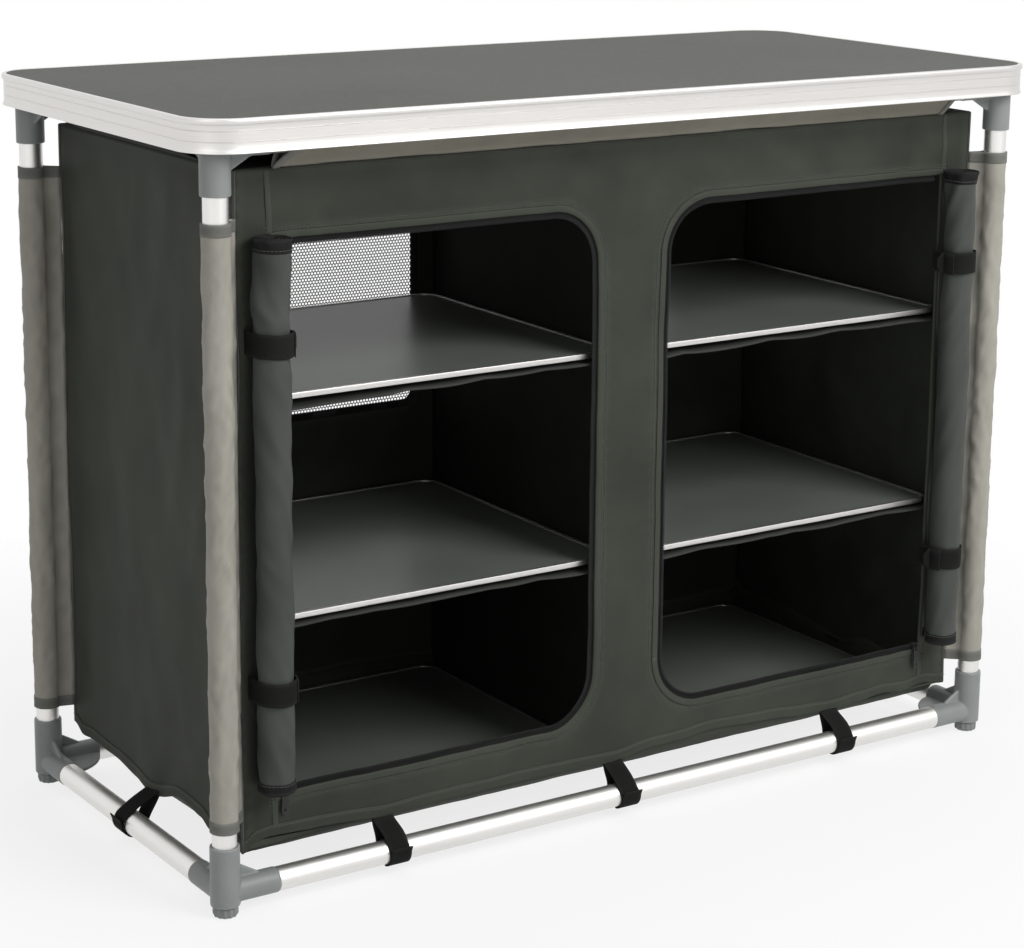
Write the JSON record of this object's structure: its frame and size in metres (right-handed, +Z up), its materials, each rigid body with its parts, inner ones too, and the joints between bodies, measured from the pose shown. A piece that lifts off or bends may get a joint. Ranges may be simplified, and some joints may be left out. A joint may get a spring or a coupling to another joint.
{
  "type": "camping cupboard",
  "caption": "Folding-style camping cupboard: tube frame with plug-in corners, laminated worktop and a hanging fabric cabinet with shelves and rolled-up doors.",
  "frame": {"origin": "on the ground under the middle of the worktop", "axes": "+X to the right seen from the front, +Y to the back, +Z up; the doors face -Y"},
  "size_m": [1.065, 0.495, 0.8],
  "materials": {
    "worktop_laminate": "dark grey satin laminate on board",
    "shelf_laminate": "dark grey glossy laminate on board",
    "aluminium": "bright anodised",
    "connector_plastic": "moulded grey",
    "foot_plastic": "moulded grey",
    "dark_fabric": "plain weave, coated",
    "pale_fabric": "plain weave",
    "mesh_fabric": "open knitted mesh",
    "webbing": "black webbing with hook-and-loop ends",
    "zip_tape": "black coil zip",
    "zip_metal": "black lacquered"
  },
  "bodies": {
    "frame": {"back_panel": "dark_fabric", "divider": "dark_fabric", "door_roll_left": "dark_fabric", "door_roll_right": "dark_fabric", "door_ties": "webbing", "door_zips": "zip_tape", "floor_panel": "dark_fabric", "front_panel": "dark_fabric", "leg_back_left": "aluminium", "leg_back_right": "aluminium", "leg_front_left": "aluminium", "leg_front_right": "aluminium", "leg_sleeve_back_left": "pale_fabric", "leg_sleeve_back_right": "pale_fabric", "leg_sleeve_front_left": "pale_fabric", "leg_sleeve_front_right": "pale_fabric", "lower_connector_back_left": "connector_plastic", "lower_connector_back_right": "connector_plastic", "lower_connector_front_left": "connector_plastic", "lower_connector_front_right": "connector_plastic", "lower_rail_back": "aluminium", "lower_rail_front": "aluminium", "lower_rail_left": "aluminium", "lower_rail_right": "aluminium", "mesh_windows": "mesh_fabric", "rail_straps": "webbing", "rail_tunnels": "pale_fabric", "roof_panel": "dark_fabric", "shelf_slings_left": "dark_fabric", "shelf_slings_right": "dark_fabric", "side_panel_left": "dark_fabric", "side_panel_right": "dark_fabric", "upper_connector_back_left": "connector_plastic", "upper_connector_back_right": "connector_plastic", "upper_connector_front_left": "connector_plastic", "upper_connector_front_right": "connector_plastic", "upper_rails_long": "aluminium", "upper_rails_short": "aluminium", "valance": "pale_fabric", "zip_sliders": "zip_metal"},
    "worktop": {"worktop_board": "worktop_laminate", "worktop_edge": "aluminium"},
    "shelf_left_top": {"shelf_board_left_top": "shelf_laminate", "shelf_edge_left_top": "aluminium"},
    "shelf_left_middle": {"shelf_board_left_middle": "shelf_laminate", "shelf_edge_left_middle": "aluminium"},
    "shelf_left_bottom": {"shelf_board_left_bottom": "shelf_laminate", "shelf_edge_left_bottom": "aluminium"},
    "zip_pull_left": {"zip_pull_left": "zip_metal"},
    "shelf_right_top": {"shelf_board_right_top": "shelf_laminate", "shelf_edge_right_top": "aluminium"},
    "shelf_right_middle": {"shelf_board_right_middle": "shelf_laminate", "shelf_edge_right_middle": "aluminium"},
    "shelf_right_bottom": {"shelf_board_right_bottom": "shelf_laminate", "shelf_edge_right_bottom": "aluminium"},
    "zip_pull_right": {"zip_pull_right": "zip_metal"},
    "foot_front_left": {"foot_front_left": "foot_plastic"},
    "foot_front_right": {"foot_front_right": "foot_plastic"},
    "foot_back_left": {"foot_back_left": "foot_plastic"},
    "foot_back_right": {"foot_back_right": "foot_plastic"}
  },
  "joints": [
    {"name": "worktop_lift", "type": "slide", "parent": "frame", "child": "worktop", "axis": [0, 0, 1], "range_m": [0, 0.12]},
    {"name": "shelf_lift_left_top", "type": "slide", "parent": "frame", "child": "shelf_left_top", "axis": [0, 0, 1], "range_m": [0, 0.08]},
    {"name": "shelf_lift_left_middle", "type": "slide", "parent": "frame", "child": "shelf_left_middle", "axis": [0, 0, 1], "range_m": [0, 0.08]},
    {"name": "shelf_lift_left_bottom", "type": "slide", "parent": "frame", "child": "shelf_left_bottom", "axis": [0, 0, 1], "range_m": [0, 0.08]},
    {"name": "shelf_lift_right_top", "type": "slide", "parent": "frame", "child": "shelf_right_top", "axis": [0, 0, 1], "range_m": [0, 0.08]},
    {"name": "shelf_lift_right_middle", "type": "slide", "parent": "frame", "child": "shelf_right_middle", "axis": [0, 0, 1], "range_m": [0, 0.08]},
    {"name": "shelf_lift_right_bottom", "type": "slide", "parent": "frame", "child": "shelf_right_bottom", "axis": [0, 0, 1], "range_m": [0, 0.08]},
    {"name": "zip_pull_swing_left", "type": "hinge", "parent": "frame", "child": "zip_pull_left", "pos_m": [-0.4245, -0.2025, 0.1124], "axis": [-1, 0, 0], "range_deg": [0, 110]},
    {"name": "zip_pull_swing_right", "type": "hinge", "parent": "frame", "child": "zip_pull_right", "pos_m": [0.4245, -0.2025, 0.1124], "axis": [-1, 0, 0], "range_deg": [0, 110]},
    {"name": "foot_screw_front_left", "type": "slide", "parent": "frame", "child": "foot_front_left", "axis": [0, 0, -1], "range_m": [0, 0.008]},
    {"name": "foot_screw_front_right", "type": "slide", "parent": "frame", "child": "foot_front_right", "axis": [0, 0, -1], "range_m": [0, 0.008]},
    {"name": "foot_screw_back_left", "type": "slide", "parent": "frame", "child": "foot_back_left", "axis": [0, 0, -1], "range_m": [0, 0.008]},
    {"name": "foot_screw_back_right", "type": "slide", "parent": "frame", "child": "foot_back_right", "axis": [0, 0, -1], "range_m": [0, 0.008]}
  ]
}
